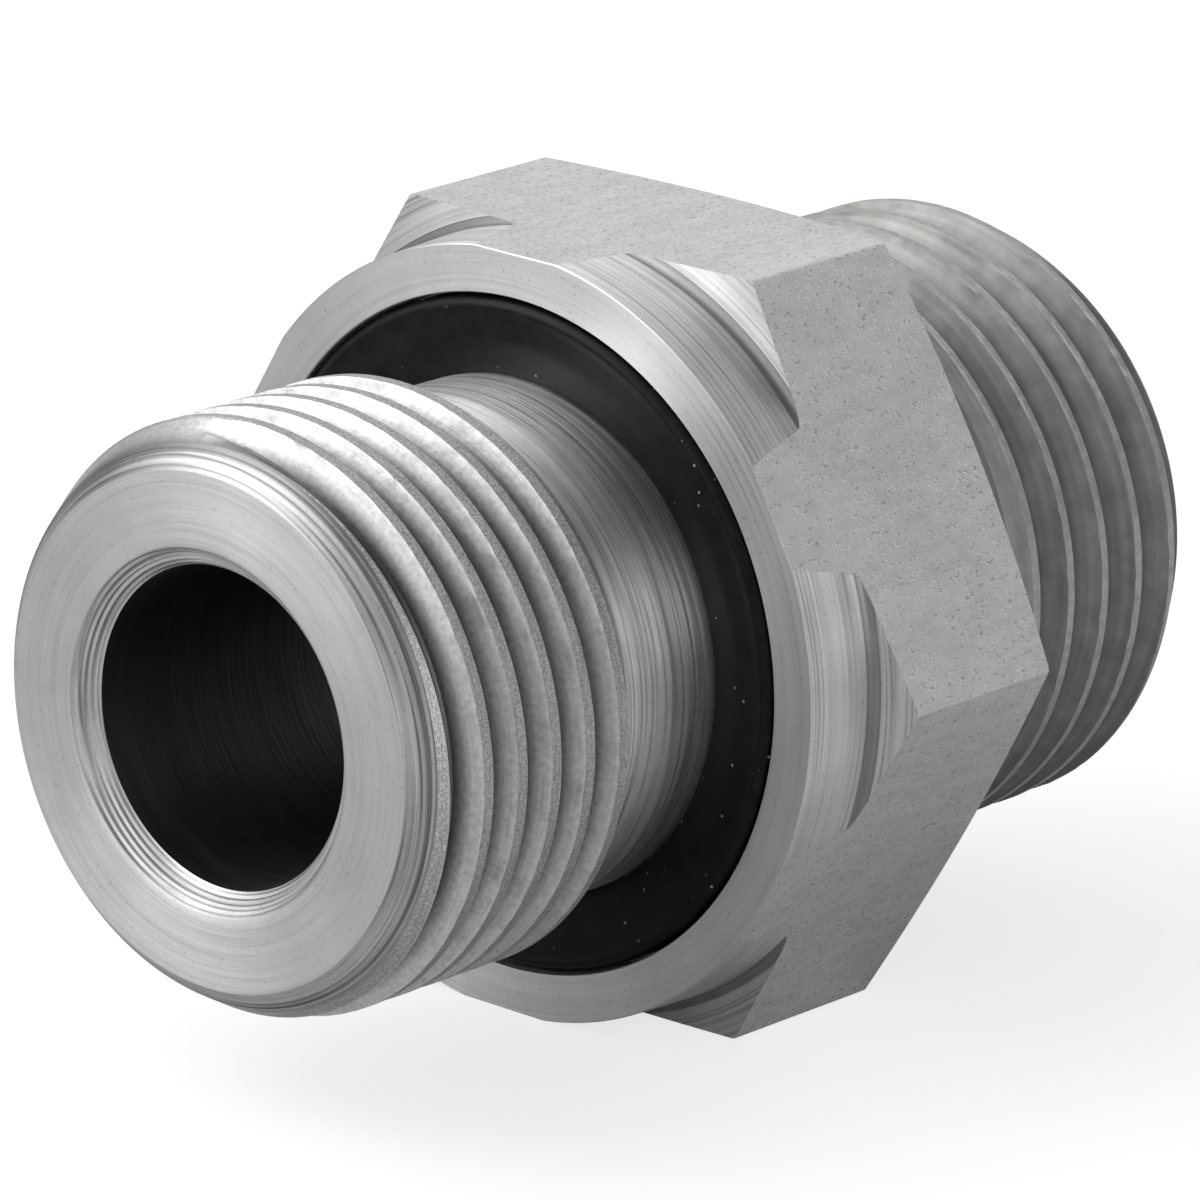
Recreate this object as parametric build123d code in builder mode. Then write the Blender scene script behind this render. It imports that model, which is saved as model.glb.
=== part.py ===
from build123d import *
import math
import os

# Male stud connector for a 12 mm tube: a steel body turned from hexagon bar,
# with a rubber sealing ring held in a recess in its collar face.
# It lies on one flat of its hexagon. X runs along the bore, from the stud end
# to the tube end, and the origin is below the middle of the length.
# All sizes are in millimetres.

# Stud, for a parallel pipe thread G 3/8
stud_length = 12.0
stud_thread_diameter = 16.66
stud_chamfer_length = 0.45
stud_chamfer_angle = 47.5
stud_lead_length = 1.15
stud_lead_angle = 29.0
relief_length = 4.35
relief_depth = 0.98
relief_shoulder_angle = 45.0

# Collar, with the recess that holds the sealing ring
collar_height = 2.45
collar_diameter = 22.0
collar_taper = 0.1
collar_root_fillet = 0.3
collar_land_width = 1.35
recess_depth = 1.5

# Hexagon, drawn slightly under 22 mm
across_flats = 21.8
hexagon_height = 6.3
shoulder_angle = 7.0
back_chamfer_angle = 15.5
back_face_inset = 0.5

# Tube end, for a union nut with a thread M18 x 1.5
tube_end_length = 10.75
tube_thread_diameter = 17.75
tube_chamfer_length = 1.3
tube_chamfer_angle = 35.0
tube_root_fillet = 0.3

# Bore, tube socket and the 24 degree cone for the cutting ring
bore_diameter = 9.0
bore_chamfer = 0.6
socket_diameter = 12.1
socket_depth = 7.0
cone_angle = 24.0
cone_mouth_diameter = 14.3

# Sealing ring
ring_wall_clearance = 0.1
ring_stud_clearance = 0.02
ring_lip_height = 0.1
ring_bevel = 0.25
ring_dish_share = 0.56
ring_land_fall = 0.06
ring_inner_sink = 0.2

# Stations along the bore, measured from the stud end
collar_face = stud_length
shoulder = collar_face + collar_height
back_face = shoulder + hexagon_height
overall_length = back_face + tube_end_length

# Radii
stud_radius = stud_thread_diameter / 2
stud_lead_radius = stud_radius - stud_lead_length * math.tan(math.radians(stud_lead_angle))
stud_face_radius = stud_lead_radius - stud_chamfer_length * math.tan(math.radians(stud_chamfer_angle))
relief_radius = stud_radius - relief_depth
collar_radius = collar_diameter / 2
collar_root_radius = collar_radius + collar_taper
recess_radius = collar_radius - collar_land_width
back_face_radius = across_flats / 2 - back_face_inset
tube_thread_radius = tube_thread_diameter / 2
bore_radius = bore_diameter / 2
socket_radius = socket_diameter / 2
cone_mouth_radius = cone_mouth_diameter / 2

# The section plane's origin is on the bore's axis at the stud end:
# its x runs along the bore and its y is the radius
axis_height = across_flats / 2
stud_end = (-overall_length / 2, 0, axis_height)
section = Plane(origin=stud_end, x_dir=(1, 0, 0), z_dir=(0, -1, 0))
bore_axis = Axis(stud_end, (1, 0, 0))

# Body: one piece of steel. The blank that it is turned from reaches past the
# corners of the bar and past its widest turned edge.
blank_allowance = 0.5
corner_radius = across_flats / math.sqrt(3)
blank_radius = max(corner_radius, collar_radius, collar_root_radius, back_face_radius) + blank_allowance
thread_start = stud_chamfer_length + stud_lead_length
thread_end = collar_face - relief_length
relief_start = thread_end + relief_depth / math.tan(math.radians(relief_shoulder_angle))
recess_floor = collar_face + recess_depth
shoulder_rise = (blank_radius - collar_root_radius) * math.tan(math.radians(shoulder_angle))
back_fall = (blank_radius - back_face_radius) * math.tan(math.radians(back_chamfer_angle))
tube_chamfer_start = overall_length - tube_chamfer_length
tube_end_radius = tube_thread_radius - tube_chamfer_length * math.tan(math.radians(tube_chamfer_angle))
tube_stop = overall_length - socket_depth
cone_length = (cone_mouth_radius - socket_radius) / math.tan(math.radians(cone_angle / 2))

with BuildPart() as connector_body:
    # The outside as it is turned, from the stud end to the tube end
    with BuildSketch(section) as turned_outline:
        with BuildLine():
            Polyline(
                (0, 0),
                (0, stud_face_radius),
                (stud_chamfer_length, stud_lead_radius),
                (thread_start, stud_radius),
                (thread_end, stud_radius),
                (relief_start, relief_radius),
                (recess_floor, relief_radius),
                (recess_floor, recess_radius),
                (collar_face, recess_radius),
                (collar_face, collar_radius),
                (shoulder, collar_root_radius),
                (shoulder + shoulder_rise, blank_radius),
                (back_face - back_fall, blank_radius),
                (back_face, back_face_radius),
                (back_face, tube_thread_radius),
                (tube_chamfer_start, tube_thread_radius),
                (overall_length, tube_end_radius),
                (overall_length, 0),
                close=True,
            )
        make_face()
        collar_root = turned_outline.vertices().sort_by_distance((shoulder, collar_root_radius))[0]
        fillet(collar_root, radius=collar_root_fillet)
        tube_root = turned_outline.vertices().sort_by_distance((back_face, tube_thread_radius))[0]
        fillet(tube_root, radius=tube_root_fillet)
    revolve(axis=bore_axis)

    # The bar's six flats cut the turned form, and run out at the collar face
    with BuildSketch(Plane(origin=stud_end, x_dir=(0, 1, 0), z_dir=(1, 0, 0))):
        RegularPolygon(radius=across_flats / 2, side_count=6, major_radius=False)
    extrude(amount=overall_length, mode=Mode.INTERSECT)

    # The inside: chamfered bore, tube stop, tube socket and cone
    with BuildSketch(section):
        with BuildLine():
            Polyline(
                (0, 0),
                (0, bore_radius + bore_chamfer),
                (bore_chamfer, bore_radius),
                (tube_stop, bore_radius),
                (tube_stop, socket_radius),
                (overall_length - cone_length, socket_radius),
                (overall_length, cone_mouth_radius),
                (overall_length, 0),
                close=True,
            )
        make_face()
    revolve(axis=bore_axis, mode=Mode.SUBTRACT)

# Sealing ring: it lies on the recess floor, and its lip stands just proud of
# the collar face. Inside the lip its face dishes down to the relief.
ring_outer_radius = recess_radius - ring_wall_clearance
ring_inner_radius = relief_radius + ring_stud_clearance
lip = collar_face - ring_lip_height
lip_radius = ring_outer_radius - ring_bevel
land_radius = ring_inner_radius + ring_dish_share * (lip_radius - ring_inner_radius)

with BuildPart() as seal_ring:
    with BuildSketch(section):
        with BuildLine():
            Polyline(
                (recess_floor, ring_inner_radius),
                (collar_face + ring_inner_sink, ring_inner_radius),
                (lip + ring_land_fall, land_radius),
                (lip, lip_radius),
                (lip + ring_bevel, ring_outer_radius),
                (recess_floor, ring_outer_radius),
                close=True,
            )
        make_face()
    revolve(axis=bore_axis)

connector_body.part.label = "connector_body"
seal_ring.part.label = "seal_ring"

os.makedirs("parts", exist_ok=True)
export_step(connector_body.part, "parts/connector_body.step")
export_step(seal_ring.part, "parts/seal_ring.step")
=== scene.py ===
import math

import bmesh
import bpy
import numpy as np
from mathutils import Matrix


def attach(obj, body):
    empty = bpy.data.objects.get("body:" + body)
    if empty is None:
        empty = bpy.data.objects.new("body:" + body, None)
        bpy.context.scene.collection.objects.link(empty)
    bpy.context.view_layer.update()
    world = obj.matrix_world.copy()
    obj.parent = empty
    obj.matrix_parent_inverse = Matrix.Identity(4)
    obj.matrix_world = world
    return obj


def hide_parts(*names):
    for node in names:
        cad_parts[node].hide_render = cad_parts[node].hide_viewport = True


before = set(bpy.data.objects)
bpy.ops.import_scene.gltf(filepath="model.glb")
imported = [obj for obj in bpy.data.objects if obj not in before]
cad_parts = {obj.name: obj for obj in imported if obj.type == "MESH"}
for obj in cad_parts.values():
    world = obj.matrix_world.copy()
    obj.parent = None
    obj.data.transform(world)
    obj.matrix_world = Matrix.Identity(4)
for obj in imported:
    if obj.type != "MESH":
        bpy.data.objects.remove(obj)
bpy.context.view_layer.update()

# Connector body: one piece of steel turned from hexagon bar, with a pipe thread on its stud and a metric
# thread on its tube end. Bare steel: drawn flats, turned faces with ring marks, threads with torn crests.
# Sizes in millimetres. Along is the distance from the stud end, around is the angle about the bore.
MM = 0.001
body_length = 31.5
across_flats = 21.8
half_flats = across_flats / 2
axis_height = half_flats
bar_edge_round = 0.16
bore_radius = 4.5
mouth_depth = 0.6
mouth_radius = bore_radius + mouth_depth
stud_face_radius = 7.19
stud_lead_radius = 7.693
stud_radius = 8.33
stud_chamfer_end = 0.45
ring_marks_end = 0.66
stud_thread_start = 1.6
stud_thread_end = 7.65
relief_start = 8.63
relief_radius = 7.35
recess_floor = 13.5
recess_radius = 9.65
collar_face = 12.0
collar_radius = 11.0
collar_root = 14.45
collar_root_radius = 11.1
shoulder_slope = math.tan(math.radians(7))
back_face = 20.75
back_face_radius = 10.4
back_slope = math.tan(math.radians(15.5))
tube_radius = 8.875
tube_root_round = 0.3
tube_thread_start = 23.1
tube_chamfer_start = 30.2
tube_thread_end = 31.42
tube_face_radius = 7.965
cone_mouth_radius = 7.15
socket_radius = 6.05
tube_stop = 24.5

# Columns of the skin run round the bore. They are closer on the stud's right and top, where the threads are
# seen best, and they stand exactly at the bar's edges and where its flats run out on the collar.
round_centre = (half_flats - bar_edge_round) / math.cos(math.radians(30))
flat_half_angle = math.degrees(math.atan(math.tan(math.radians(30)) * (1 - bar_edge_round / half_flats)))
edge_span = 30 - flat_half_angle
edge_columns = [
    corner + share * edge_span
    for corner in range(-120, 240, 60)
    for share in (-1, -0.5, 0, 0.5, 1)
]
land_columns = [
    flat + side * math.degrees(math.acos(half_flats / radius))
    for flat in range(-90, 240, 60)
    for radius in (collar_radius, collar_root_radius)
    for side in (-1, 1)
]
exact_columns = np.array(sorted(edge_columns + land_columns))
plain_columns = np.concatenate([np.arange(-120, 60, 0.9), np.arange(60, 240, 1.5)])
least_gap = 0.12
gaps = np.abs(plain_columns[:, None] - exact_columns[None, :]).min(axis=1)
around = np.sort(np.concatenate([plain_columns[gaps > least_gap], exact_columns]))
around = np.append(around, around[0] + 360)

# The bar's outline: six flats with slightly rounded edges
from_flat = np.abs(around % 60 - 30)
from_edge = np.radians(30 - from_flat)
flat_reach = half_flats / np.cos(np.radians(from_flat))
inside_root = np.clip(bar_edge_round**2 - (round_centre * np.sin(from_edge)) ** 2, 0, None)
edge_reach = round_centre * np.cos(from_edge) + np.sqrt(inside_root)
on_edge = np.degrees(from_edge) < edge_span
bar_reach = np.where(on_edge, np.minimum(edge_reach, flat_reach), flat_reach)

# What a face of the skin belongs to: it sets the finish, and where two differ their edge is sharp
(
    BORE, MOUTH, END_FACE, RING_MARKS, CREST, FLANK, ROOT, RELIEF, RECESS, COLLAR_FACE, COLLAR_SIDE,
    COLLAR_FILLET, SHOULDER, FLATS, BACK_CHAMFER, BACK_FACE, SHANK, TUBE_FACE, SOCKET, TUBE_CREST,
    TUBE_FLANK, TUBE_ROOT,
) = range(22)
bands = []


def add_band(zone, rows):
    """One band of the skin. Each row is (along, radius), each of them a number or one value a column."""
    along = np.array([np.broadcast_to(row[0], around.shape) for row in rows], float)
    radius = np.array([np.broadcast_to(row[1], around.shape) for row in rows], float)
    zones = zone if isinstance(zone, list) else [zone] * (len(rows) - 1)
    bands.append((zones, along, radius))


ripple = np.random.default_rng(3)


def tool_ripple(alongs, radius, inward, outward):
    """Rows on a straight wall that the tool left uneven by a few thousandths."""
    return [(along, radius + ripple.uniform(-inward, outward)) for along in alongs]


# Bore, then its chamfered mouth with the rings that the tool left in it
bore_rows = tool_ripple(np.linspace(tube_stop, mouth_depth, 14), bore_radius, 0.004, 0.004)
bore_rows[0] = (tube_stop, bore_radius)
bore_rows[-1] = (mouth_depth, bore_radius)
add_band(BORE, bore_rows)
mouth_rings = 5
mouth_ring_height = 0.014
mouth_edge = 0.012
mouth_rows = []
for share in np.linspace(0, 1, 21):
    fade = math.sin(share * math.pi) ** 0.5
    ring = mouth_ring_height * fade * math.sin(share * mouth_rings * 2 * math.pi)
    mouth_rows.append((mouth_depth * (1 - share) + ring, bore_radius + mouth_depth * share + ring))
mouth_rows[-1] = (mouth_edge, mouth_radius)
add_band(MOUTH, mouth_rows)

# Stud: its end face, a chamfer with ring marks, a lead-in cone, the thread's crests, and the shoulder
# down to the relief
stud_outline = [
    (0.0, stud_face_radius),
    (stud_chamfer_end, stud_lead_radius),
    (stud_thread_start, stud_radius),
    (stud_thread_end, stud_radius),
    (relief_start, relief_radius),
]
stud_alongs, stud_radii = zip(*stud_outline)
ring_marks = [
    (0.0, 0.0), (0.05, 0.0), (0.09, 0.0228), (0.13, 0.0026), (0.17, 0.0195), (0.21, 0.0), (0.25, 0.013),
    (0.29, 0.0026), (0.33, 0.0195), (0.37, 0.0), (0.41, 0.0182), (0.45, 0.0065), (0.49, 0.0026),
    (0.53, 0.039), (0.57, 0.0078), (0.61, 0.0026), (ring_marks_end, 0.0),
]
mark_alongs, mark_depths = zip(*ring_marks)


def stud_turned(along):
    """The stud's turned radius, before its thread is cut."""
    return np.interp(along, stud_alongs, stud_radii) - np.interp(along, mark_alongs, mark_depths)


# A thread's first_edge is the station of its groove's first edge at 0 degrees. The groove starts at
# starts_at degrees, and has its full depth full_after degrees further on.
stud_thread = dict(
    radius=stud_radius, pitch=1.337, crest=0.35, half_angle=27.5, root_round=0.1,
    first_edge=0.93, starts_at=-122, full_after=55, turned=stud_turned,
)


def wander(angle, step, seed):
    """A steady unevenness along a cut, from -1 to 1, that changes over about step degrees."""
    knots = np.arange(-1500, 3600, step)
    values = np.random.default_rng(seed).uniform(-1, 1, len(knots))
    return np.interp(angle, knots, values)


def groove_depth(place, thread):
    """How deep the groove is, at a place across it from its first edge."""
    half_angle = math.radians(thread["half_angle"])
    half_width = (thread["pitch"] - thread["crest"]) / 2
    side = np.abs(place - half_width)
    slope = 1 / math.tan(half_angle)
    apex = half_width * slope
    arc_centre = apex - thread["root_round"] / math.sin(half_angle)
    arc_reach = thread["root_round"] * math.cos(half_angle)
    arc = arc_centre + np.sqrt(np.clip(thread["root_round"] ** 2 - side**2, 0, None))
    return np.where(side < arc_reach, arc, np.clip(apex - side * slope, 0, None))


def groove_share(angle, thread):
    """How much of its full depth the groove has. It starts shallow, or runs out, over part of a turn."""
    share = np.clip((angle - thread["starts_at"]) / thread["full_after"], 0, 1)
    return share * share * (3 - 2 * share)


def threaded_radius(along, thread):
    """The radius of each column at one station, with the thread cut."""
    pitch = thread["pitch"]
    groove = pitch - thread["crest"]
    turn = np.floor((along - thread["first_edge"]) / pitch - around / 360)
    place = along - thread["first_edge"] - pitch * (turn + around / 360)
    depth = np.where(place < groove, groove_depth(np.clip(place, 0, groove), thread), 0)
    cut = thread["radius"] - groove_share(around + 360 * turn, thread) * depth
    return np.minimum(thread["turned"](along), cut)


def thread_band(span, thread, seed):
    """Rows that follow the helix between two stations, and the zone of each strip between them.

    The groove's last edge is burred and chipped, and the crest is torn, as a die or a chaser leaves them.
    """
    first_edge, pitch, crest = thread["first_edge"], thread["pitch"], thread["crest"]
    groove = pitch - crest
    reach = groove / 2 - thread["root_round"] * math.cos(math.radians(thread["half_angle"]))
    edge_roll, edge_wander = 0.03, 0.006
    burr_width, burr_shift, burr_lift, chip_shift = 0.035, 0.018, 0.012, 0.05
    torn_lift, torn_sink = 0.007, 0.006
    strips = [
        (0.0, FLANK, "edge"),
        (edge_roll, FLANK, "smooth"),
        (reach, ROOT, "smooth"),
        (groove / 2, ROOT, "smooth"),
        (groove - reach, FLANK, "smooth"),
        (groove - 0.55 * reach, FLANK, "smooth"),
        (groove - 0.2 * reach, FLANK, "smooth"),
        (groove - burr_width, FLANK, "burr"),
        (groove, CREST, "burr top"),
        (groove + 0.25 * crest, CREST, "torn"),
        (groove + 0.6 * crest, CREST, "torn"),
    ]
    first_turn = math.floor((span[0] - first_edge) / pitch - around[-1] / 360) - 1
    last_turn = math.ceil((span[1] - first_edge) / pitch - around[0] / 360)
    zones = []
    rows = []
    for turn in range(first_turn, last_turn + 1):
        angle = around + 360 * turn
        burr = wander(angle, 1.8, seed)
        chip = np.clip(wander(angle, 2.7, seed + 1) - 0.35, 0, None)
        for number, (offset, zone, kind) in enumerate(strips):
            shift = np.zeros_like(around)
            lift = np.zeros_like(around)
            if kind == "edge":
                shift = edge_wander * wander(angle, 3.0, seed + 2)
            if kind in ("burr", "burr top"):
                shift = -burr_shift * np.abs(burr) - chip_shift * chip
            if kind == "burr top":
                lift = burr_lift * burr
            if kind == "torn":
                lift = torn_lift * wander(angle, 1.6, seed + 3 + number) - torn_sink
            along = np.clip(first_edge + pitch * (angle / 360) + offset + shift, span[0], span[1])
            place = along - first_edge - pitch * angle / 360
            depth = np.where(place < 0, 0, groove_depth(np.clip(place, 0, groove), thread))
            if kind in ("burr", "burr top"):
                depth = groove_depth(np.full_like(around, offset), thread)
            cut = thread["radius"] - groove_share(angle, thread) * depth
            cut = np.minimum(thread["turned"](along), cut + np.where(depth > 0.02, 0, lift))
            at_an_end = (along <= span[0]) | (along >= span[1])
            rows.append((along, np.where(at_an_end, threaded_radius(along, thread), cut)))
            zones.append(zone)
    return zones[:-1], rows


end_face_rows = [(mouth_edge, mouth_radius), (0.0, 5.13)]
end_face_rows += [(0.0, radius) for radius in np.linspace(5.5, 7.12, 6)]
face_edge = (0.006, stud_face_radius)
end_face_rows += [face_edge]
add_band(END_FACE, end_face_rows)
mark_rows = [face_edge]
mark_rows += [(along, threaded_radius(along, stud_thread)) for along in mark_alongs[1:]]
add_band(RING_MARKS, mark_rows)
stud_stations = [ring_marks_end, stud_thread_start, stud_thread_end, relief_start]
for span in zip(stud_stations, stud_stations[1:]):
    zones, rows = thread_band(span, stud_thread, seed=20)
    add_band(zones, rows)

# Relief, and the recess that holds the ring
relief_rows = [(relief_start, relief_radius)]
relief_rows += tool_ripple(np.linspace(8.8, 12.3, 16), relief_radius, 0.006, 0.004)
relief_rows += [(recess_floor, relief_radius)]
add_band(RELIEF, relief_rows)
edge_break = 0.03
add_band(RECESS, [(recess_floor, relief_radius), (recess_floor, recess_radius)])
recess_alongs = (recess_floor, 12.6, collar_face + edge_break)
add_band(RECESS, [(along, recess_radius) for along in recess_alongs])

# Collar: its face, then its side, fillet and shoulder, which the bar's flats cut away near the bore
land_reach = np.minimum(collar_radius, bar_reach)
collar_rows = [(collar_face + edge_break, recess_radius)]
collar_rows += [(collar_face, radius) for radius in (recess_radius + edge_break, 9.95, 10.35, 10.75)]
collar_rows += [(collar_face, land_reach - edge_break), (collar_face + edge_break, land_reach)]
add_band(COLLAR_FACE, collar_rows)
side_taper = math.atan((collar_root_radius - collar_radius) / (collar_root - collar_face))
fillet_reach = 0.2545
fillet_start = np.array([
    collar_root - fillet_reach * math.cos(side_taper),
    collar_root_radius - fillet_reach * math.sin(side_taper),
])
fillet_corner = np.array([collar_root, collar_root_radius])
fillet_end = fillet_corner + fillet_reach * np.array([math.sin(math.radians(7)), math.cos(math.radians(7))])
fillet_outline = []
for share in np.linspace(0, 1, 7):
    before, after = (1 - share) ** 2 * fillet_start, share**2 * fillet_end
    fillet_outline.append(tuple(before + 2 * share * (1 - share) * fillet_corner + after))
side_outline = [(collar_face + edge_break, collar_radius), (12.5, 11.02), (13.1, 11.045), (13.7, 11.07)]
side_outline += [fillet_outline[0]]
shoulder_outline = [fillet_outline[-1]]
for radius in (11.5, 11.7, 11.95, 12.2, 12.7):
    shoulder_outline.append((collar_root + (radius - collar_root_radius) * shoulder_slope, radius))
turned_outline = side_outline + fillet_outline[1:] + shoulder_outline[1:]
turned_alongs, turned_radii = zip(*turned_outline)
turned_zones = (COLLAR_SIDE, side_outline), (COLLAR_FILLET, fillet_outline), (SHOULDER, shoulder_outline)
for zone, outline in turned_zones:
    rows = []
    for along, radius in outline:
        reach = np.minimum(radius, bar_reach)
        rows.append((np.interp(reach, turned_radii, turned_alongs), reach))
    add_band(zone, rows)

# Flats of the bar, from where the turning ends to the chamfer at the back
front_of_flat = np.interp(bar_reach, turned_radii, turned_alongs)
back_of_flat = back_face - (bar_reach - back_face_radius) * back_slope
flat_rows = []
for share in np.linspace(0, 1, 5):
    flat_rows.append((front_of_flat + (back_of_flat - front_of_flat) * share, bar_reach))
add_band(FLATS, flat_rows)
back_rows = []
for share in np.linspace(0, 1, 4):
    radius = bar_reach + (back_face_radius - bar_reach) * share
    back_rows.append((back_face - (radius - back_face_radius) * back_slope, radius))
add_band(BACK_CHAMFER, back_rows)
root_start_radius = tube_radius + tube_root_round
add_band(BACK_FACE, [(back_face, radius) for radius in (back_face_radius, 9.8, root_start_radius)])
root_rows = []
for share in np.linspace(0, 1, 6):
    swing = math.radians(90 * share)
    root_along = back_face + tube_root_round * (1 - math.cos(swing))
    root_rows.append((root_along, tube_radius + tube_root_round * (1 - math.sin(swing))))
add_band(BACK_FACE, root_rows)


# Tube end: shank, thread, end chamfer and face
def tube_turned(along):
    """The tube end's turned radius, before its thread is cut."""
    tube_alongs = (back_face, tube_chamfer_start, body_length)
    return np.interp(along, tube_alongs, (tube_radius, tube_radius, tube_face_radius))


tube_thread = dict(
    radius=tube_radius, pitch=1.5, crest=0.275, half_angle=30, root_round=0.24,
    first_edge=25.775, starts_at=-535, full_after=45, turned=tube_turned,
)
shank_rows = [(back_face + tube_root_round, tube_radius)]
shank_rows += tool_ripple(np.linspace(21.4, 22.9, 6), tube_radius, 0.006, 0.0)
shank_rows += [(tube_thread_start, threaded_radius(tube_thread_start, tube_thread))]
add_band(SHANK, shank_rows)
tube_zone = {CREST: TUBE_CREST, FLANK: TUBE_FLANK, ROOT: TUBE_ROOT}
tube_stations = [tube_thread_start, tube_chamfer_start, tube_thread_end]
for span in zip(tube_stations, tube_stations[1:]):
    zones, rows = thread_band(span, tube_thread, seed=60)
    add_band([tube_zone[zone] for zone in zones], rows)
face_outer = (body_length, tube_face_radius - 0.03)
cone_edge = (31.45, 7.14)
add_band(TUBE_FACE, [(tube_thread_end, threaded_radius(tube_thread_end, tube_thread)), face_outer])
add_band(TUBE_FACE, [face_outer, (body_length, 7.6), (body_length, 7.18), cone_edge])

# Cone for the cutting ring, tube socket and its stop
cone_slope = math.tan(math.radians(12))
cone_rows = [cone_edge]
for radius in (6.95, 6.7, 6.4, socket_radius):
    cone_rows.append((body_length - (cone_mouth_radius - radius) / cone_slope, radius))
add_band(SOCKET, cone_rows)
add_band(SOCKET, [cone_rows[-1], (25.4, socket_radius), (tube_stop, socket_radius)])
add_band(SOCKET, [(tube_stop, socket_radius), (tube_stop, bore_radius)])

# The bands become one closed skin
turn = np.radians(around)
points = []
quads = []
quad_zones = []
start = 0
for zones, along, radius in bands:
    x = (along - body_length / 2) * MM
    y = -radius * np.cos(turn) * MM
    z = (axis_height - radius * np.sin(turn)) * MM
    points.append(np.stack([x, y, z], -1).reshape(-1, 3))
    rows, columns = along.shape
    index = start + np.arange(rows * columns).reshape(rows, columns)
    corners = np.stack([index[:-1, :-1], index[:-1, 1:], index[1:, 1:], index[1:, :-1]], -1)
    quads.append(corners.reshape(-1, 4))
    quad_zones.append(np.repeat(zones, columns - 1))
    start += rows * columns
skin = bpy.data.meshes.new("connector_body_skin")
skin.from_pydata(np.concatenate(points).tolist(), [], np.concatenate(quads).tolist())
zone_layer = skin.attributes.new("zone", "INT", "FACE")
zone_layer.data.foreach_set("value", np.concatenate(quad_zones).astype(np.int32))
work = bmesh.new()
work.from_mesh(skin)
bmesh.ops.remove_doubles(work, verts=work.verts, dist=0.0002 * MM)
loose = [vertex for vertex in work.verts if not vertex.link_faces]
bmesh.ops.delete(work, geom=loose, context="VERTS")
zone_of = work.faces.layers.int["zone"]
if work.calc_volume(signed=True) < 0:
    bmesh.ops.reverse_faces(work, faces=work.faces)
soft_edges = [
    {ROOT, FLANK}, {TUBE_ROOT, TUBE_FLANK}, {RING_MARKS, CREST}, {SHANK, TUBE_CREST}, {BACK_FACE, SHANK},
    {COLLAR_SIDE, COLLAR_FILLET}, {COLLAR_FILLET, SHOULDER},
]
for edge in work.edges:
    first, second = edge.link_faces
    bend = first.normal.angle(second.normal, 0.0)
    zones = {first[zone_of], second[zone_of]}
    at_a_border = len(zones) == 2 and zones not in soft_edges
    edge.smooth = bend <= math.radians(2 if at_a_border else 30)
for face in work.faces:
    face.smooth = True
work.to_mesh(skin)
work.free()
connector_body = bpy.data.objects.new("connector_body_visual", skin)
bpy.context.scene.collection.objects.link(connector_body)


def nodes_of(holder):
    """The empty node tree of a new material or world."""
    holder.use_nodes = True
    holder.node_tree.nodes.clear()
    return holder.node_tree


def add_node(tree, kind, settings=None, **values):
    node = tree.nodes.new(kind)
    for name, value in (settings or {}).items():
        setattr(node, name, value)
    for name, value in values.items():
        node.inputs[name].default_value = value
    return node


def feed(tree, value, socket):
    """Gives a socket its value: a number, a colour or another node's output."""
    if isinstance(value, (int, float)):
        socket.default_value = value
    elif isinstance(value, tuple):
        socket.default_value = (*value, 1)
    else:
        tree.links.new(value, socket)


def work_out(tree, operation, *values):
    """A Math node. Each value is a number or another node's output."""
    node = add_node(tree, "ShaderNodeMath", {"operation": operation})
    for number, value in enumerate(values):
        feed(tree, value, node.inputs[number])
    return node.outputs[0]


def ramp(tree, source, stops):
    """A colour ramp through (place, value) stops, where a value is a grey or a colour."""
    node = add_node(tree, "ShaderNodeValToRGB")
    elements = node.color_ramp.elements
    while len(elements) < len(stops):
        elements.new(0.5)
    for element, (place, value) in zip(elements, stops):
        element.position = place
        element.color = (value, value, value, 1) if isinstance(value, (int, float)) else (*value, 1)
    feed(tree, source, node.inputs[0])
    return node.outputs["Color"]


def blend(tree, mode, share, first, second):
    node = add_node(tree, "ShaderNodeMix", {"data_type": "RGBA", "blend_type": mode})
    for name, value in (("Factor", share), ("A", first), ("B", second)):
        feed(tree, value, node.inputs[name])
    return node.outputs["Result"]


def tinted(tree, tone, *shades):
    """A tone darkened by each of the shades in turn."""
    for shade in shades:
        tone = blend(tree, "MULTIPLY", 1.0, tone, shade)
    return tone


def about_the_bore(tree):
    """Where a point is along X, across and above the bore's middle, and how far from it, in metres."""
    place = add_node(tree, "ShaderNodeTexCoord")
    split = add_node(tree, "ShaderNodeSeparateXYZ")
    feed(tree, place.outputs["Object"], split.inputs[0])
    across = split.outputs["Y"]
    above = work_out(tree, "SUBTRACT", split.outputs["Z"], axis_height * MM)
    squares = [work_out(tree, "MULTIPLY", side, side) for side in (above, across)]
    return split.outputs["X"], across, above, work_out(tree, "SQRT", work_out(tree, "ADD", *squares))


def tool_lines(tree, fineness, breaks, seed=0.0):
    """Noise drawn out round the bore, as a lathe tool leaves it.

    Fineness is in lines a millimetre, and breaks is how often a line changes on its way round.
    """
    along, across, above, radius = about_the_bore(tree)
    vector = add_node(tree, "ShaderNodeCombineXYZ")
    for axis, side in (("X", across), ("Y", above)):
        turned = work_out(tree, "DIVIDE", side, radius)
        feed(tree, work_out(tree, "MULTIPLY", turned, breaks), vector.inputs[axis])
    feed(tree, work_out(tree, "MULTIPLY_ADD", along, fineness / MM, seed), vector.inputs["Z"])
    noise = add_node(
        tree, "ShaderNodeTexNoise", {"noise_dimensions": "4D"}, Scale=1.0, Detail=1.0, Roughness=0.6
    )
    feed(tree, vector.outputs[0], noise.inputs["Vector"])
    feed(tree, work_out(tree, "MULTIPLY", radius, fineness / MM), noise.inputs["W"])
    return noise.outputs["Fac"]


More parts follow.
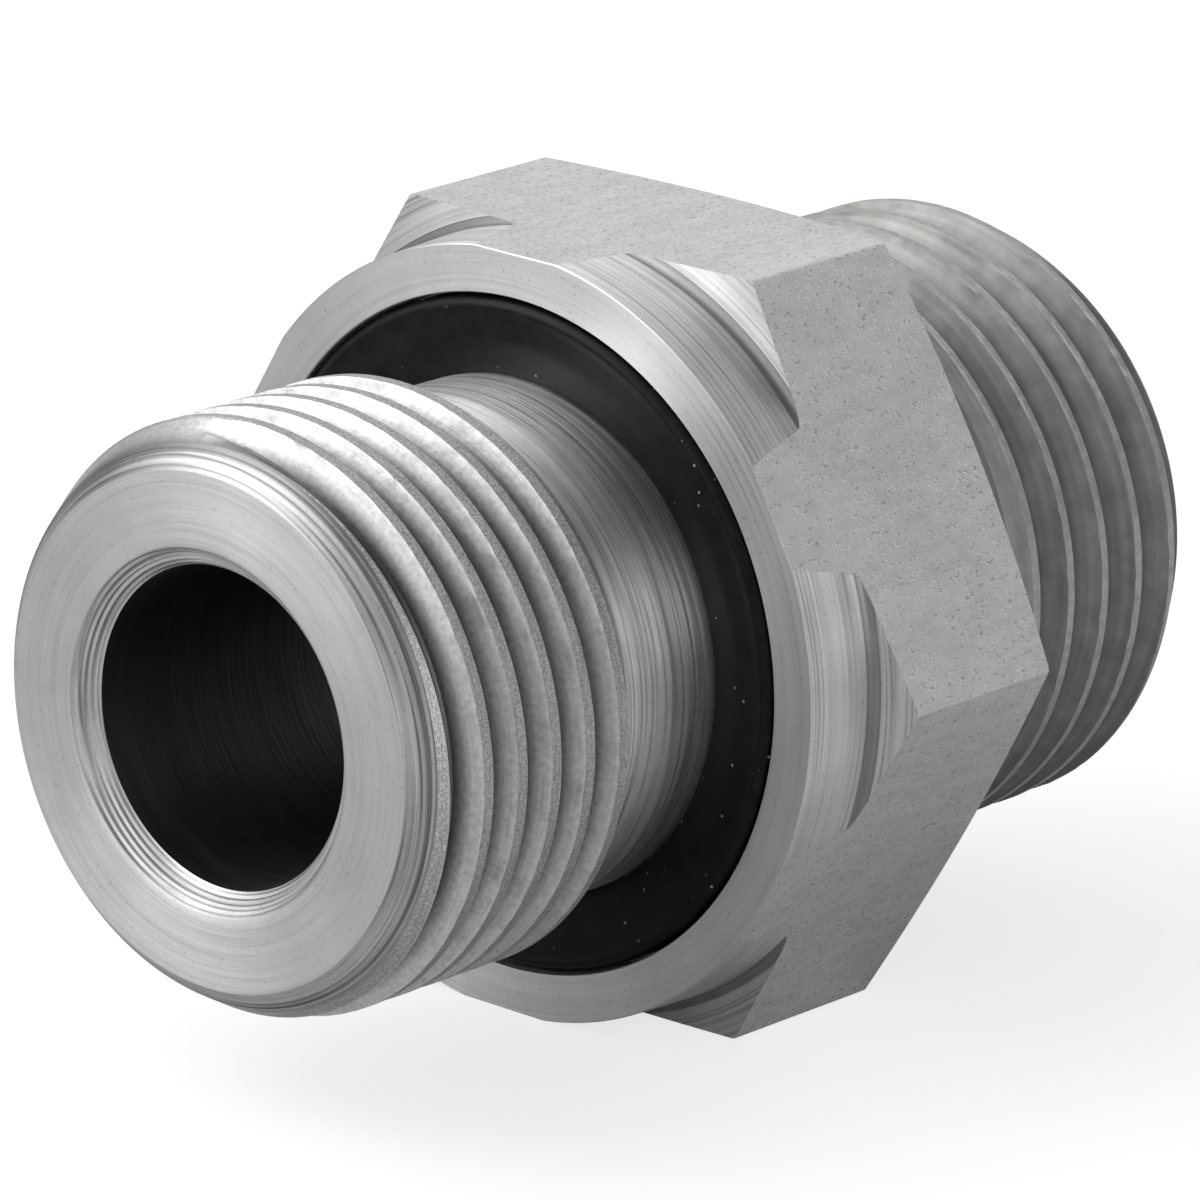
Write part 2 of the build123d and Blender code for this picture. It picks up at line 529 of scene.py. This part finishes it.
def stain_and_shade_by_radius(tree, stops):
    """A darkening that changes with the distance from the bore's middle, through (radius, shade) stops: real
    stains on the stud's chamfer, painted shade down in the thread grooves.
    """
    low, high = stops[0][0], stops[-1][0]
    radius = about_the_bore(tree)[-1]
    share = work_out(tree, "MULTIPLY_ADD", radius, 1 / ((high - low) * MM), -low / (high - low))
    return ramp(tree, share, [((stop - low) / (high - low), shade) for stop, shade in stops])


def grain(tree, size, detail=2.0, roughness=0.6, stretch=1):
    """Noise whose blotches are about size millimetres across, and stretch times that along the bore."""
    place = add_node(tree, "ShaderNodeTexCoord")
    scale = add_node(tree, "ShaderNodeMapping")
    scale.inputs["Scale"].default_value = [1 / (size * MM * longer) for longer in (stretch, 1, 1)]
    feed(tree, place.outputs["Object"], scale.inputs["Vector"])
    noise = add_node(tree, "ShaderNodeTexNoise", Scale=1.0, Detail=detail, Roughness=roughness)
    feed(tree, scale.outputs[0], noise.inputs["Vector"])
    return noise.outputs["Fac"]


def relief_of(tree, *parts):
    """A height for bump, added up from (share, noise) parts."""
    heights = [work_out(tree, "MULTIPLY", noise, share) for share, noise in parts]
    total = heights[0]
    for height in heights[1:]:
        total = work_out(tree, "ADD", total, height)
    return total


def finish_metal(tree, colour, roughness, height, bump_distance, anisotropy=0.0):
    """Bare metal. The tool's lines run round the bore, so it is roughest along it."""
    shader = add_node(tree, "ShaderNodeBsdfPrincipled", Metallic=1.0)
    shader.inputs["Anisotropic"].default_value = anisotropy
    shader.inputs["Anisotropic Rotation"].default_value = 0.25
    feed(tree, colour, shader.inputs["Base Color"])
    feed(tree, roughness, shader.inputs["Roughness"])
    bump = add_node(tree, "ShaderNodeBump", Strength=1.0, Distance=bump_distance * MM)
    feed(tree, height, bump.inputs["Height"])
    feed(tree, bump.outputs["Normal"], shader.inputs["Normal"])
    if anisotropy:
        tangent = add_node(tree, "ShaderNodeTangent", {"direction_type": "RADIAL", "axis": "X"})
        feed(tree, tangent.outputs["Tangent"], shader.inputs["Tangent"])
    output = add_node(tree, "ShaderNodeOutputMaterial")
    feed(tree, shader.outputs[0], output.inputs["Surface"])


def turned_steel(name, tone, fineness, lines, blotch, roughness, line_height, drawn_out, stains=None):
    """Bare turned steel: ring marks round the bore, a cloudy tone, and a few specks and stains.

    Lines is how much the tool's lines darken it, and drawn_out how much its gloss spreads along the bore.
    """
    material = bpy.data.materials.new(name)
    tree = nodes_of(material)
    fine = tool_lines(tree, fineness, 1.2)
    broad = tool_lines(tree, fineness * 0.22, 0.8, seed=3.7)
    cloud = grain(tree, blotch)
    speck = grain(tree, 0.12)
    dark, pale = [tuple(channel * share for channel in tone) for share in (0.93, 1.05)]
    colour = tinted(
        tree, ramp(tree, cloud, [(0.3, dark), (0.7, pale)]),
        ramp(tree, fine, [(0.3, 1 - lines), (0.5, 1.0)]),
        ramp(tree, broad, [(0.35, 1 - 0.6 * lines), (0.6, 1.0)]),
    )
    colour = blend(tree, "MULTIPLY", 0.6, colour, ramp(tree, speck, [(0.27, 0.55), (0.36, 1.0)]))
    if stains:
        colour = tinted(tree, colour, stain_and_shade_by_radius(tree, stains))
    height = relief_of(tree, (0.7, fine), (0.5, broad), (0.25, speck))
    rough = work_out(tree, "MULTIPLY_ADD", fine, 0.16, roughness - 0.08)
    finish_metal(tree, colour, rough, height, line_height, drawn_out)
    return material


face_steel = turned_steel(
    "fine_turned_steel", (0.71, 0.705, 0.70), fineness=14, lines=0.10, blotch=2.5,
    roughness=0.40, line_height=0.006, drawn_out=0.75,
)
side_steel = turned_steel(
    "coarse_turned_steel", (0.78, 0.775, 0.77), fineness=13, lines=0.42, blotch=2.0,
    roughness=0.36, line_height=0.012, drawn_out=0.85,
)
ring_stains = [
    (7.19, 0.95), (7.36, 0.8), (7.44, 0.95), (7.55, 0.62), (7.61, 0.88),
    (7.69, 0.34), (7.745, 0.8), (7.79, 0.55), (7.86, 0.9), (8.4, 1.0),
]
ring_steel = turned_steel(
    "ring_marked_steel", (0.70, 0.695, 0.69), fineness=12, lines=0.6, blotch=1.2,
    roughness=0.45, line_height=0.016, drawn_out=0.5, stains=ring_stains,
)
mouth_steel = turned_steel(
    "mouth_marked_steel", (0.66, 0.655, 0.65), fineness=12, lines=0.5, blotch=1.2,
    roughness=0.42, line_height=0.014, drawn_out=0.5,
)
relief_steel = turned_steel(
    "scored_turned_steel", (0.94, 0.935, 0.93), fineness=11, lines=0.42, blotch=1.2,
    roughness=0.32, line_height=0.012, drawn_out=0.85,
)
# The collar's fillet is much darker than the steel beside it: painted shade in the crease between side and
# shoulder.
fillet_steel = turned_steel(
    "shade_painted_fillet_steel", (0.34, 0.335, 0.33), fineness=9, lines=0.2, blotch=1.2,
    roughness=0.42, line_height=0.008, drawn_out=0.8,
)
shank_steel = turned_steel(
    "dull_turned_steel", (0.26, 0.252, 0.245), fineness=7, lines=0.16, blotch=2.0,
    roughness=0.44, line_height=0.008, drawn_out=0.7,
)
# The bore is very dark steel: painted shade inside the hole.
bore_steel = turned_steel(
    "shade_painted_bore_steel", (0.14, 0.14, 0.14), fineness=8, lines=0.2, blotch=2.0,
    roughness=0.4, line_height=0.012, drawn_out=0.3,
)

# The stud's thread: smooth pale flanks, darkened down towards the groove's root as painted shade, and torn
# grey crests
flank_steel = bpy.data.materials.new("cut_flank_steel")
tree = nodes_of(flank_steel)
fine = tool_lines(tree, 12, 2.0)
mottle = grain(tree, 0.18, detail=3.0)
colour = tinted(
    tree, ramp(tree, mottle, [(0.3, 0.58), (0.6, 0.74)]),
    ramp(tree, fine, [(0.3, 0.9), (0.6, 1.0)]),
    stain_and_shade_by_radius(tree, [(7.48, 0.16), (7.62, 0.24), (7.82, 0.5), (8.05, 0.92), (8.33, 1.0)]),
)
finish_metal(tree, colour, 0.45, relief_of(tree, (0.3, fine), (0.7, mottle)), 0.012, 0.3)

crest_steel = bpy.data.materials.new("torn_crest_steel")
tree = nodes_of(crest_steel)
torn = grain(tree, 0.07, detail=3.0, roughness=0.7)
fine = tool_lines(tree, 16, 4.0)
colour = tinted(
    tree, ramp(tree, torn, [(0.35, 0.34), (0.5, 0.5), (0.68, 0.74)]),
    ramp(tree, fine, [(0.3, 0.82), (0.6, 1.0)]),
)
finish_metal(tree, colour, 0.42, relief_of(tree, (1.0, torn), (0.4, fine)), 0.02)

# The tube end's thread is duller, darkened down towards its groove's root as painted shade, and has softer
# crests
tube_flank_steel = bpy.data.materials.new("dull_flank_steel")
tree = nodes_of(tube_flank_steel)
fine = tool_lines(tree, 5, 1.5)
mottle = grain(tree, 0.9)
tube_groove_shade = [(7.95, 0.15), (8.15, 0.4), (8.35, 0.8), (8.6, 1.0), (8.7, 0.92), (tube_radius, 0.85)]
colour = tinted(
    tree, ramp(tree, mottle, [(0.3, (0.38, 0.37, 0.36)), (0.7, (0.50, 0.49, 0.48))]),
    ramp(tree, fine, [(0.3, 0.8), (0.65, 1.0)]),
    stain_and_shade_by_radius(tree, tube_groove_shade),
)
finish_metal(tree, colour, 0.62, relief_of(tree, (0.6, fine), (0.4, mottle)), 0.014, 0.2)

tube_crest_steel = bpy.data.materials.new("dull_crest_steel")
tree = nodes_of(tube_crest_steel)
mottle = grain(tree, 0.25)
colour = ramp(tree, mottle, [(0.3, (0.36, 0.355, 0.35)), (0.7, (0.50, 0.495, 0.485))])
finish_metal(tree, colour, 0.42, mottle, 0.010, 0.3)

# Drawn flats: a matt skin with fine dark pits, stretched slightly along the bar
flat_steel = bpy.data.materials.new("drawn_flat_steel")
tree = nodes_of(flat_steel)
cloud = grain(tree, 1.6, detail=3.0, stretch=2.2)
streak = grain(tree, 0.35, detail=3.0, stretch=2.4)
pit = grain(tree, 0.11, detail=1.0, stretch=1.5)
tone = ramp(tree, cloud, [(0.3, (0.665, 0.665, 0.66)), (0.7, (0.735, 0.73, 0.725))])
colour = tinted(tree, tone, ramp(tree, streak, [(0.3, 0.9), (0.6, 1.0)]))
colour = blend(tree, "MULTIPLY", 0.6, colour, ramp(tree, pit, [(0.28, 0.5), (0.44, 1.0)]))
pit_depth = ramp(tree, pit, [(0.28, 0.0), (0.46, 1.0)])
finish_metal(tree, colour, 0.5, relief_of(tree, (1.0, pit_depth), (0.9, streak)), 0.014)

finish_of_zone = {
    BORE: bore_steel,
    MOUTH: mouth_steel,
    END_FACE: face_steel,
    RING_MARKS: ring_steel,
    CREST: crest_steel,
    FLANK: flank_steel,
    ROOT: flank_steel,
    RELIEF: relief_steel,
    RECESS: side_steel,
    COLLAR_FACE: face_steel,
    COLLAR_SIDE: side_steel,
    COLLAR_FILLET: fillet_steel,
    SHOULDER: side_steel,
    FLATS: flat_steel,
    BACK_CHAMFER: side_steel,
    BACK_FACE: side_steel,
    SHANK: shank_steel,
    TUBE_FACE: face_steel,
    SOCKET: side_steel,
    TUBE_CREST: tube_crest_steel,
    TUBE_FLANK: tube_flank_steel,
    TUBE_ROOT: tube_flank_steel,
}
finishes = [
    face_steel, side_steel, ring_steel, shank_steel, bore_steel, flank_steel, crest_steel, flat_steel,
    fillet_steel, tube_flank_steel, tube_crest_steel, relief_steel, mouth_steel,
]
for finish in finishes:
    skin.materials.append(finish)
face_zones = np.zeros(len(skin.polygons), np.int32)
skin.attributes["zone"].data.foreach_get("value", face_zones)
slots = [finishes.index(finish_of_zone[zone]) for zone in sorted(finish_of_zone)]
slot_of_zone = np.array(slots, np.int32)
skin.polygons.foreach_set("material_index", slot_of_zone[face_zones])
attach(connector_body, "root")
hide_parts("connector_body")

# Seal ring: black rubber, moulded with a lip that stands just proud of the collar face. It lies in the
# collar's recess, held by its own grip. Its outline runs from the recess floor up the stud's side, out over
# the dished face and the lip, and down the recess wall.
ring_inner_radius = 7.37
ring_outer_radius = 9.55
lip = 11.9
ring_outline = [
    (recess_floor, ring_inner_radius), (13.0, ring_inner_radius), (12.5, ring_inner_radius),
    (12.27, 7.372), (12.21, 7.385), (12.185, 7.43), (12.15, 7.6), (12.1, 7.8), (12.05, 8.0),
    (12.005, 8.2), (11.975, 8.34), (11.963, 8.45), (11.957, 8.6), (11.95, 8.8), (11.94, 9.0),
    (11.925, 9.14), (11.905, 9.22), (lip, 9.27), (11.905, 9.32), (11.925, 9.37),
    (11.96, 9.41), (12.02, 9.46), (12.08, 9.51), (12.15, 9.54),
    (12.25, ring_outer_radius), (12.6, ring_outer_radius), (13.0, ring_outer_radius),
    (recess_floor, ring_outer_radius),
]
ring_turns = np.radians(np.arange(0, 360, 1.2))
ring_points = []
for along, radius in ring_outline:
    for turn in ring_turns:
        across = -radius * math.cos(turn)
        height = axis_height - radius * math.sin(turn)
        ring_points.append(((along - body_length / 2) * MM, across * MM, height * MM))
ring_faces = []
columns = len(ring_turns)
for row in range(len(ring_outline)):
    here = row * columns
    beyond = (row + 1) % len(ring_outline) * columns
    for column in range(columns):
        beside = (column + 1) % columns
        ring_faces.append((here + column, here + beside, beyond + beside, beyond + column))
ring_mesh = bpy.data.meshes.new("seal_ring_rubber")
ring_mesh.from_pydata(ring_points, [], ring_faces)
work = bmesh.new()
work.from_mesh(ring_mesh)
if work.calc_volume(signed=True) < 0:
    bmesh.ops.reverse_faces(work, faces=work.faces)
for edge in work.edges:
    first, second = edge.link_faces
    edge.smooth = first.normal.angle(second.normal, 0.0) < math.radians(40)
for face in work.faces:
    face.smooth = True
work.to_mesh(ring_mesh)
work.free()
seal_ring = bpy.data.objects.new("seal_ring_visual", ring_mesh)
bpy.context.scene.collection.objects.link(seal_ring)

black_rubber = bpy.data.materials.new("black_rubber")
tree = nodes_of(black_rubber)
mould_lines = tool_lines(tree, 7, 1.0)
haze = grain(tree, 0.5)
place = add_node(tree, "ShaderNodeTexCoord")
specks = add_node(tree, "ShaderNodeTexVoronoi", Scale=1 / (0.42 * MM))
feed(tree, place.outputs["Object"], specks.inputs["Vector"])
dust = tinted(
    tree, ramp(tree, specks.outputs["Distance"], [(0.06, 1.0), (0.12, 0.0)]),
    ramp(tree, grain(tree, 0.7, detail=1.0), [(0.47, 0.0), (0.56, 1.0)]),
)
rubber_tone = ramp(tree, haze, [(0.3, (0.003, 0.003, 0.003)), (0.7, (0.008, 0.008, 0.008))])
shader = add_node(tree, "ShaderNodeBsdfPrincipled")
shader.inputs["Specular IOR Level"].default_value = 0.14
feed(tree, blend(tree, "MIX", dust, rubber_tone, (0.35, 0.35, 0.34)), shader.inputs["Base Color"])
feed(tree, work_out(tree, "MULTIPLY_ADD", haze, 0.2, 0.3), shader.inputs["Roughness"])
bump = add_node(tree, "ShaderNodeBump", Strength=1.0, Distance=0.008 * MM)
feed(tree, relief_of(tree, (0.5, mould_lines), (0.5, haze)), bump.inputs["Height"])
feed(tree, bump.outputs["Normal"], shader.inputs["Normal"])
output = add_node(tree, "ShaderNodeOutputMaterial")
feed(tree, shader.outputs[0], output.inputs["Surface"])
ring_mesh.materials.append(black_rubber)
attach(seal_ring, "root")
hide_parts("seal_ring")

# Floor: a pale plain sheet that the connector lies on. The camera sees it white, by a glow that lights
# nothing but reflections, and it keeps the connector's shadow.
floor_reach = 3
floor_glow = 0.74
share_in_reflections = 0.08
floor_mesh = bpy.data.meshes.new("floor_sheet")
floor_corners = [(x * floor_reach, y * floor_reach, 0) for x, y in ((-1, -1), (1, -1), (1, 1), (-1, 1))]
floor_mesh.from_pydata(floor_corners, [], [(0, 1, 2, 3)])
floor = bpy.data.objects.new("floor", floor_mesh)
bpy.context.scene.collection.objects.link(floor)
pale_floor = bpy.data.materials.new("pale_floor")
tree = nodes_of(pale_floor)
path = add_node(tree, "ShaderNodeLightPath")
paper = grain(tree, 3.0)
sheet_tone = ramp(tree, paper, [(0.3, 0.50), (0.7, 0.51)])
seen_tone = ramp(tree, paper, [(0.3, 0.30), (0.7, 0.305)])
sheet = add_node(tree, "ShaderNodeBsdfDiffuse")
sheet_colour = blend(tree, "MIX", path.outputs["Is Camera Ray"], sheet_tone, seen_tone)
feed(tree, sheet_colour, sheet.inputs["Color"])
seen = work_out(tree, "MAXIMUM", path.outputs["Is Camera Ray"], path.outputs["Is Transmission Ray"])
seen = work_out(tree, "MULTIPLY_ADD", path.outputs["Is Glossy Ray"], share_in_reflections, seen)
glow = add_node(tree, "ShaderNodeEmission")
feed(tree, work_out(tree, "MULTIPLY", seen, floor_glow), glow.inputs["Strength"])
both = add_node(tree, "ShaderNodeAddShader")
feed(tree, sheet.outputs[0], both.inputs[0])
feed(tree, glow.outputs[0], both.inputs[1])
output = add_node(tree, "ShaderNodeOutputMaterial")
feed(tree, both.outputs[0], output.inputs["Surface"])
floor_mesh.materials.append(pale_floor)

# Studio: soft lights round the connector, each a direction and a strength, with no hard edges. The strongest
# is above on the left, the next low in front on the right, and the camera sees white behind it all.
studio = bpy.data.worlds.new("studio")
bpy.context.scene.world = studio
tree = nodes_of(studio)
soft_lights = [
    ((-0.06, -0.96, 0.26), 2.6),
    ((0.96, -0.06, 0.26), 1.8),
    ((0.72, 0.64, 0.26), 0.75),
    ((-0.64, 0.72, 0.26), 1.3),
    ((-0.96, 0.06, 0.26), 1.7),
    ((0.66, 0.13, 0.74), 0.5),
    ((0.21, 0.63, 0.74), 1.1),
    ((-0.44, 0.50, 0.74), 4.9),
    ((-0.66, -0.13, 0.74), 0.6),
]
light_narrowness = 12.0
dim_room = 0.02
place = add_node(tree, "ShaderNodeTexCoord")
light = dim_room
for direction, strength in soft_lights:
    towards = add_node(tree, "ShaderNodeVectorMath", {"operation": "DOT_PRODUCT"})
    feed(tree, place.outputs["Generated"], towards.inputs[0])
    towards.inputs[1].default_value = direction
    facing = work_out(tree, "MAXIMUM", towards.outputs["Value"], 0.0)
    lobe = work_out(tree, "POWER", facing, light_narrowness)
    light = work_out(tree, "MULTIPLY_ADD", lobe, strength, light)
room = add_node(tree, "ShaderNodeBackground", Color=(1, 1, 1, 1))
feed(tree, light, room.inputs["Strength"])
white = add_node(tree, "ShaderNodeBackground", Color=(1, 1, 1, 1), Strength=1.0)
path = add_node(tree, "ShaderNodeLightPath")
mixed = add_node(tree, "ShaderNodeMixShader")
feed(tree, path.outputs["Is Camera Ray"], mixed.inputs[0])
feed(tree, room.outputs[0], mixed.inputs[1])
feed(tree, white.outputs[0], mixed.inputs[2])
output = add_node(tree, "ShaderNodeOutputWorld")
feed(tree, mixed.outputs[0], output.inputs["Surface"])
bpy.context.scene.view_settings.view_transform = "Standard"

# Camera: a long lens about 0.28 m from the connector, in front of its stud end and a little above it, at the
# photograph's viewing angle. Its place is in metres and its turn in degrees.
camera_data = bpy.data.cameras.new("camera")
camera_data.sensor_width = 36
camera_data.lens = 301.245
camera_data.clip_start = 0.01
camera_data.clip_end = 20
camera = bpy.data.objects.new("camera", camera_data)
camera.location = (-0.199352, -0.176361, 0.095559)
camera.rotation_euler = [math.radians(turn) for turn in (72.3901, -0.9872, -48.1920)]
bpy.context.scene.collection.objects.link(camera)
bpy.context.scene.camera = camera
